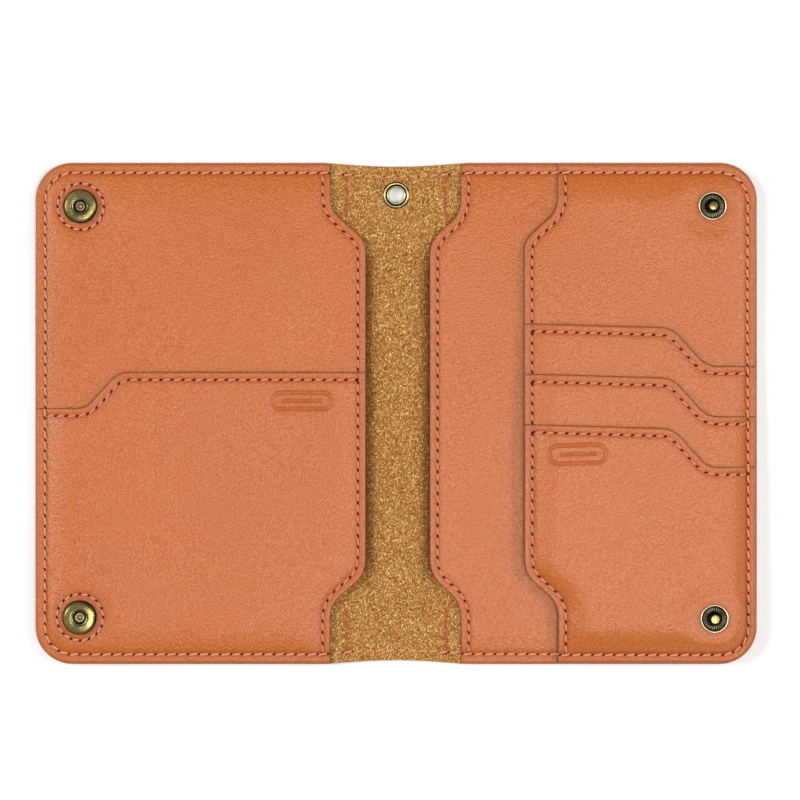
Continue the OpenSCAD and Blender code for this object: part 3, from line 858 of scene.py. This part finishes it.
def outer_panel(side):
    """A panel on the outside of one half, its face down."""
    edge = OUTER_EDGE * [side, 1]
    width = HALF_W - OUTER_X
    columns = ticks(width, 1.8) / width
    rows = ticks(2 * HALF_H, 1.6) / (2 * HALF_H)

    x, y = half_grid(side, lambda y: across(edge, y), columns, rows)
    near_edge = np.minimum(edge_in(x, y), far(x, y, edge))
    z_low = FACE_RISE + 0.12 * smooth(near_edge / 8) * (1 + np.sin(x / 19 + side) * np.sin(y / 23))
    for line in (PERIMETER, OUTER_HEM * [side, 1]):
        z_low = z_low + GROOVE * np.exp(-(far(x, y, line) / GROOVE_W) ** 2)
    z_low = z_low + RIM * np.clip(1 - near_edge / RIM_W, 0, 1) ** 2
    z_top = np.full(x.shape, OUTER_T - 0.01)
    name = "outer_panel_" + half_name(side)
    obj = closed_sheet(name + "_leather", x, y, z_top, z_low, [FIBRE, EDGE, LEATHER])
    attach(obj, half_body(side))
    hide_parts(name)


for side in (-1, 1):
    outer_panel(side)

# ---- stitches ----

STITCH_SIDES = 8
STITCH_W, STITCH_T = 0.31, 0.21          # half the width and height of the thread
STITCH_ALONG = np.array([-1, -0.86, -0.55, 0, 0.55, 0.86, 1])
STITCH_SIZE = np.array([0.35, 0.75, 1, 1.04, 1, 0.75, 0.35])
STITCH_RISE = np.array([-0.26, -0.1, 0.0, 0.03, 0.0, -0.1, -0.26])
STITCH_TILT = math.radians(9)
HOLE_TILT = math.radians(32)
HOLE_SIDES = 12


def turned(vectors, angle):
    c, s = math.cos(angle), math.sin(angle)
    x, y = vectors[:, 0], vectors[:, 1]
    return np.stack([x * c - y * s, x * s + y * c], axis=1)


def stitch_mesh(line, height, flip=1, closed=False, thread=0.03, pitch=PITCH, bare=0.6,
                hole=(0.5, 0.27)):
    """Points, faces and slots of a seam's stitches and needle holes. flip is -1 on the outside.

    thread is the height of the thread's middle, bare the length left between two stitches, and
    hole half the length and width of a needle hole.
    """
    holes = resampled(line, pitch)
    a, b = holes[:-1], holes[1:]
    along = b - a
    length = np.linalg.norm(along, axis=1)
    along /= length[:, None]
    along = turned(along, flip * STITCH_TILT)
    sideways = np.stack([-along[:, 1], along[:, 0]], axis=1)
    middle, reach = (a + b) / 2, (length - bare) / 2
    steps = (reach[:, None] * STITCH_ALONG[None, :])[..., None]
    centre = middle[:, None, :] + along[:, None, :] * steps
    z = height(centre[..., 0], centre[..., 1]) + flip * (thread + STITCH_RISE[None, :])
    turn = np.arange(STITCH_SIDES) * 2 * math.pi / STITCH_SIDES
    w = STITCH_W * STITCH_SIZE[None, :, None] * np.cos(turn)
    t = STITCH_T * STITCH_SIZE[None, :, None] * np.sin(turn)
    ring_xy = centre[:, :, None, :] + sideways[:, None, None, :] * w[..., None]
    ring_z = z[:, :, None] + t
    rings = np.concatenate([ring_xy, ring_z[..., None]], axis=-1)
    n, k, m = len(a), len(STITCH_ALONG), STITCH_SIDES
    first = np.concatenate([centre[:, 0], z[:, 0, None]], axis=1)
    last = np.concatenate([centre[:, -1], z[:, -1, None]], axis=1)
    points = np.concatenate([rings.reshape(n, -1, 3), first[:, None], last[:, None]], axis=1)
    one = []
    for r in range(k - 1):
        for j in range(m):
            j2 = (j + 1) % m
            one.append((r * m + j, (r + 1) * m + j, (r + 1) * m + j2, r * m + j2))
    for j in range(m):
        j2 = (j + 1) % m
        one.append((k * m, j, j2))
        one.append((k * m + 1, (k - 1) * m + j2, (k - 1) * m + j))
    per = points.shape[1]
    faces = [tuple(i * per + v for v in f) for i in range(n) for f in one]
    slots = [0] * len(faces)
    points = points.reshape(-1, 3)

    # A needle hole is a thin lens in the groove, painted dark as the hole's shade
    at = holes[:-1] if closed else holes
    step = np.gradient(holes, axis=0)[: len(at)]
    step /= np.linalg.norm(step, axis=1, keepdims=True)
    long_axis = turned(step, flip * HOLE_TILT)
    short_axis = np.stack([-long_axis[:, 1], long_axis[:, 0]], axis=1)
    turn = np.arange(HOLE_SIDES) * 2 * math.pi / HOLE_SIDES
    rim = at[:, None, :] + hole[0] * long_axis[:, None, :] * np.cos(turn)[None, :, None]
    rim = rim + hole[1] * short_axis[:, None, :] * np.sin(turn)[None, :, None]
    rim_z = height(rim[..., 0], rim[..., 1]) - flip * (GROOVE * 0.8)
    middle_z = height(at[:, 0], at[:, 1])
    start = len(points)
    lens = np.concatenate([
        np.concatenate([rim, rim_z[..., None]], axis=-1),
        np.concatenate([at, (middle_z - flip * (GROOVE - 0.06))[:, None]], axis=1)[:, None],
        np.concatenate([at, (middle_z - flip * (GROOVE + 0.2))[:, None]], axis=1)[:, None]], axis=1)
    for i in range(len(at)):
        base = start + i * (HOLE_SIDES + 2)
        for j in range(HOLE_SIDES):
            j2 = (j + 1) % HOLE_SIDES
            faces.append((base + j, base + j2, base + HOLE_SIDES))
            faces.append((base + j2, base + j, base + HOLE_SIDES + 1))
            slots += [1, 1]
    points = np.concatenate([points, lens.reshape(-1, 3)])
    if flip < 0:
        faces = [f[::-1] for f in faces]
    return points, faces, slots


def seam(name, lines, height, replaced=(), thread_material=None, **kinds):
    """One piece that holds every stitch of a seam."""
    points, faces, slots = [], [], []
    count = 0
    for line in lines:
        p, f, s = stitch_mesh(line, height, **kinds)
        faces += [tuple(v + count for v in face) for face in f]
        slots += s
        points.append(p)
        count += len(p)
    obj = add_mesh(name, np.concatenate(points), faces, [thread_material or THREAD, HOLE_SHADE], slots)
    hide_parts(*replaced)
    return obj


def run_of(line, test):
    """The longest unbroken run of points that pass the test, on a line that may be closed."""
    keep = test(line[:, 0], line[:, 1])
    if keep.all():
        return line
    start = int(np.argmin(keep))
    rolled, keep = np.roll(line[:-1], -start, axis=0), np.roll(keep[:-1], -start)
    best, here = (0, 0), None
    for i, k in enumerate([*keep, False]):
        if k and here is None:
            here = i
        if not k and here is not None:
            if i - here > best[1] - best[0]:
                best = (here, i)
            here = None
    return rolled[best[0]:best[1]]


FRONT_END, BACK_END = FRONT_MOUTH[0][0], BACK_MOUTH[0][0]
front_run = run_of(PERIMETER, lambda x, y: x < FRONT_END - 0.3)
back_run = run_of(PERIMETER, lambda x, y: x > BACK_END + 0.3)
for side, run in ((-1, front_run), (1, back_run)):
    where = half_name(side)
    perimeter_seam = seam(
        "perimeter_stitches_" + where, [run], surface, ["perimeter_thread_" + where])
    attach(perimeter_seam, half_body(side))

for side, end in ((-1, FRONT_END), (1, BACK_END)):
    def on_spine(x):
        return (side * x > 0) & (side * x < abs(end) - 0.2)

    spine_runs = [
        run_of(PERIMETER, lambda x, y: on_spine(x) & (y > 0)),
        run_of(PERIMETER, lambda x, y: on_spine(x) & (y < 0))]
    where = half_name(side)
    spine_seam = seam(
        "spine_stitches_" + where, spine_runs, cover_over, ["perimeter_thread_spine"], THREAD)
    bend_with_spine(spine_seam, side)
    outer_seam = seam(
        "outer_panel_stitches_" + where,
        [clipped(OUTER_HEM * [side, 1], 50, HEAD), clipped(OUTER_HEM * [side, 1], TAIL, -50)],
        cover_over, ["outer_panel_thread_" + where], RED_THREAD, thread=0.0)
    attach(outer_seam, half_body(side))


def outside(x, y):
    return np.full(np.broadcast(x, y).shape, FACE_RISE + GROOVE)


for side in (-1, 1):
    where = half_name(side)
    edge_run = run_of(PERIMETER, lambda x, y: side * x > OUTER_X + 0.5)
    outside_seam = seam(
        "outside_stitches_" + where, [edge_run, OUTER_HEM * [side, 1]], outside,
        flip=-1, thread=-0.05)
    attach(outside_seam, half_body(side))

card_mouth_y = [CARD_HIGH[1] + CARD_RISE - CARD_PITCH * i for i in range(3)]
hem_lines = [
    (FRONT_SLEEVE, [clipped(FRONT_HEM, TICKET_HIGH[1] + 0.5)]),
    (TICKET_POCKET, [TICKET_HEM, clipped(FRONT_HEM, high=TICKET_HIGH[1] - HEM_IN - 0.6)]),
    (BACK_SLEEVE, [BACK_HEM]),
    (CARD_PANEL, [clipped(CARD_HEM, card_mouth_y[0] + 0.5)])]
for i, layer in enumerate(CARD_POCKETS):
    low = card_mouth_y[i + 1] + 0.4 if i < 2 else TAIL
    column = clipped(CARD_HEM, low, card_mouth_y[i] - HEM_IN - 0.6)
    hem_lines.append((layer, [CARD_HEMS[i], column]))
for layer, lines in hem_lines:
    thread = "card_pocket_thread" if layer in CARD_POCKETS else layer.name + "_thread"
    hem_seam = seam(
        layer.name + "_stitches", lines, layer.over, [thread], HEM_THREAD,
        thread=-0.02, bare=0.95, hole=(0.6, 0.33))
    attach(hem_seam, half_body(layer.side))

for ring, layer, where in zip(RINGS, (FRONT_SLEEVE, TICKET_POCKET), ("upper", "lower")):
    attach(seam(
        where + "_socket_ring_stitches", [ring], layer.over, ["socket_ring_thread"],
        closed=True, pitch=2.6, thread=0.02, bare=0.8, hole=(0.55, 0.34)), "front_half")

# ---- snaps and eyelet ----


def lathe(name, profile, materials, at, sides=72, flutes=None):
    """A turned piece about +Z. profile is (radius, height, slot of the band that starts there)."""
    turn = np.arange(sides) * 2 * math.pi / sides
    points, rings = [], []
    for r, z, _ in profile:
        start = len(points)
        if r < 1e-6:
            points.append((at[0], at[1], at[2] + z))
            rings.append([start])
            continue
        for a in turn:
            lift = 0.0
            if flutes is not None and flutes[0] < r < flutes[1]:
                lift = flutes[3] * math.cos(flutes[2] * a)
            points.append((at[0] + r * math.cos(a), at[1] + r * math.sin(a), at[2] + z + lift))
        rings.append(list(range(start, start + sides)))
    faces, slots = [], []
    closed_profile = rings + ([rings[0]] if len(rings[0]) > 1 else [])
    for n, (low, high) in enumerate(zip(closed_profile[:-1], closed_profile[1:])):
        if len(low) == 1 and len(high) == 1:
            continue
        for j in range(sides):
            j2 = (j + 1) % sides
            if len(low) == 1:
                faces.append((low[0], high[j2], high[j]))
            elif len(high) == 1:
                faces.append((low[j], low[j2], high[0]))
            else:
                faces.append((low[j], low[j2], high[j2], high[j]))
            # A flute's trough takes slot 1, the near-black brass: painted shade
            shaded_flute_trough = flutes is not None and flutes[0] < profile[n][0] < flutes[1] and math.cos(
                flutes[2] * (turn[j] + math.pi / sides)) < 0
            slots.append(1 if shaded_flute_trough else profile[n][2])
    return add_mesh(name, points, faces, materials, slots)


def rounded(points, radius=0.12, steps=3):
    """A profile whose corners are rounded. Each point is (radius, height, slot)."""
    out = [points[0]]
    for before, here, after in zip(points[:-2], points[1:-1], points[2:]):
        p, q, n = (np.array(v[:2], float) for v in (before, here, after))
        r_in = min(radius, np.linalg.norm(p - q) * 0.45)
        r_out = min(radius, np.linalg.norm(n - q) * 0.45)
        start = q + (p - q) / max(np.linalg.norm(p - q), 1e-9) * r_in
        end = q + (n - q) / max(np.linalg.norm(n - q), 1e-9) * r_out
        for k in range(steps + 1):
            t = k / steps
            c = (1 - t) ** 2 * start + 2 * t * (1 - t) * q + t * t * end
            out.append((c[0], c[1], before[2] if k < steps // 2 else here[2]))
    return out + [points[-1]]


SPRING_R, SPRING_WIRE = 2.2, 0.24


def socket(where, y, z):
    h = SOCKET_H
    # Near-black bands are painted shade on the walls, underside and bore; the rivet's pale top and
    # end are a painted highlight
    body = lathe(
        where + "_socket_body", rounded([
            (1.05, 0.0, 1), (SOCKET_R - 0.15, 0.0, 1), (SOCKET_R, 0.3, 1), (SOCKET_R, h * 0.6, 1),
            (SOCKET_R - 0.36, h * 0.75, 0), (SOCKET_R - 0.8, h - 0.12, 0), (2.75, h, 0),
            (2.4, h - 0.02, 1), (2.15, h - 0.16, 1), (2.15, 1.7, 1), (2.95, 1.68, 1),
            (2.95, 1.2, 1), (2.15, 1.18, 1), (2.12, 0.25, 1), (1.05, 0.25, 1)]),
        [BRASS, SHADED_BRASS], (-STUD_X, y, z))
    spring = lathe(
        where + "_socket_spring", [
            (SPRING_R + SPRING_WIRE * math.cos(a), 1.45 + SPRING_WIRE * math.sin(a), 0)
            for a in np.linspace(0, 2 * math.pi, 11)[:-1]],
        [SPRING_STEEL], (-STUD_X, y, z))
    rivet = lathe(
        where + "_socket_rivet", rounded([
            (0.5, -0.8, 0), (1.0, -0.8, 0), (1.0, 0.26, 0), (1.3, 0.27, 1), (1.34, 0.38, 1),
            (1.1, 0.46, 2), (0.85, 0.42, 1), (0.62, 0.2, 1), (0.5, -0.1, 1)], 0.06),
        [BRASS, SHADED_BRASS, LIT_BRASS], (-STUD_X, y, z))
    dome = lathe(
        where + "_socket_rivet_end", [
            (0.0, 0.42, 0), (0.2, 0.4, 0), (0.36, 0.3, 0), (0.44, 0.1, 0), (0.44, -0.3, 0),
            (0.0, -0.3, 0)],
        [LIT_BRASS], (-STUD_X, y, z), 32)
    for piece in (body, spring, rivet, dome):
        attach(piece, "front_half")
    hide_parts("socket_bodies")
    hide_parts("socket_springs")


def stud(where, y, z):
    h = STUD_H
    # Near-black bands are painted shade on walls, flute troughs and the ball's flank; the pale rim
    # top is a painted highlight
    body = lathe(
        where + "_stud", rounded([
            (0.0, 0.02, 1), (STUD_R - 0.1, 0.02, 1), (STUD_R, 0.25, 0), (STUD_R - 0.08, 0.55, 2),
            (STUD_R - 0.3, 0.68, 2), (STUD_R - 0.5, 0.5, 1), (STUD_R - 0.66, 0.15, 1),
            (3.2, 0.4, 3), (2.7, 0.58, 3), (2.05, 0.5, 1), (1.85, 0.15, 1), (1.55, 0.2, 1),
            (1.5, 1.1, 1), (1.78, 1.5, 1), (1.88, 1.78, 1), (1.72, 2.1, 1), (1.35, 2.28, 1),
            (1.1, h - 0.08, 0), (0.4, h - 0.005, 0), (0.0, h, 0)], 0.14),
        [BRASS, SHADED_BRASS, LIT_BRASS, GREY_BRASS], (STUD_X, y, z), 256, (1.95, 3.25, 32, 0.12))
    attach(body, "back_half")
    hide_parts("studs")


socket("upper", SNAP_HIGH_Y, SLEEVE_TOP)
socket("lower", SNAP_LOW_Y, SECOND_TOP)
stud("upper", SNAP_HIGH_Y, SECOND_TOP)
stud("lower", SNAP_LOW_Y, CARD_TOP)

hole, rim = EYELET_HOLE_R, EYELET_R
# Near-black bands are painted shade on the eyelet's walls; its pale crown and flange top are a
# painted highlight
eyelet = lathe(
    "spine_eyelet", rounded([
        (hole, EYELET_LOW + 0.1, 0), (hole + 0.3, EYELET_LOW, 0), (hole + 0.9, EYELET_LOW + 0.1, 0),
        (hole + 0.85, EYELET_LOW + 0.22, 0), (hole + 0.3, EYELET_LOW + 0.2, 1),
        (hole + 0.3, COVER_TOP + 0.02, 1), (rim, COVER_TOP + 0.02, 1), (rim, COVER_TOP + 0.12, 1),
        (rim - 0.2, COVER_TOP + 0.22, 0), (rim - 0.5, EYELET_HIGH - 0.04, 2),
        (rim - 0.72, EYELET_HIGH - 0.1, 1), (hole + 0.55, COVER_TOP + 0.08, 1),
        (hole + 0.4, EYELET_HIGH - 0.12, 2), (hole + 0.2, EYELET_HIGH, 2),
        (hole, EYELET_HIGH - 0.25, 2), (hole, COVER_TOP - 0.3, 0)], 0.06),
    [BRASS, SHADED_BRASS, LIT_BRASS], (0.0, EYELET_Y, 0.0))
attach(eyelet, "spine")
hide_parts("eyelet")

# CAD nodes that stay as they are
for name, material in (
        ("eyelet_washer", BRASS), ("stud_rivets", BRASS), ("socket_rivets", BRASS),
        ("socket_patches", FIBRE)):
    for slot in frame["nodes"][name].material_slots:
        slot.material = material

# ---- floor, light and camera ----

FLOOR_HALF = 3.0           # metres
VIEW_CENTRE = (1.08, 3.8)  # the point that the camera looks down at
VIEW_WIDTH = 227.3         # width of the picture at the floor


def floor():
    mesh = bpy.data.meshes.new("floor")
    h = FLOOR_HALF
    mesh.from_pydata([(-h, -h, 0), (h, -h, 0), (h, h, 0), (-h, h, 0)], [], [(0, 1, 2, 3)])
    s = Shader("floor_paper", roughness=0.9, specular=0.0)
    white = s.ramp(s.noise(40, 2), (0.3, (0.93, 0.93, 0.93, 1)), (0.7, (0.95, 0.95, 0.95, 1)))
    mesh.materials.append(s.done(white))
    new_object("floor", mesh)


def soft_light(name, place, size, power):
    """A round area light that faces the origin. place and size are in metres."""
    data = bpy.data.lights.new(name, "AREA")
    data.shape, data.size, data.energy = "DISK", size, power
    obj = new_object(name, data)
    obj.location = place
    obj.rotation_euler = obj.location.to_track_quat("Z", "Y").to_euler()


def camera():
    data = bpy.data.cameras.new("camera")
    data.lens, data.sensor_width = 100, 36
    obj = new_object("camera", data)
    distance = VIEW_WIDTH * data.lens / data.sensor_width
    obj.location = (VIEW_CENTRE[0] * MM, VIEW_CENTRE[1] * MM, distance * MM)
    obj.rotation_euler = (0, 0, 0)
    bpy.context.scene.camera = obj


floor()
soft_light("overhead_softbox", (0.15, -0.18, 1.0), 0.5, 4.3)
soft_light("left_softbox", (-0.95, 0.2, 0.85), 0.42, 7.3)
soft_light("right_softbox", (0.95, 0.15, 0.85), 0.42, 5.0)
world = bpy.data.worlds.new("studio")
bpy.context.scene.world = world
world.use_nodes = True
world.node_tree.nodes["Background"].inputs["Color"].default_value = (1, 1, 1, 1)
world.node_tree.nodes["Background"].inputs["Strength"].default_value = 0.33
bpy.context.scene.view_settings.view_transform = "Standard"
camera()
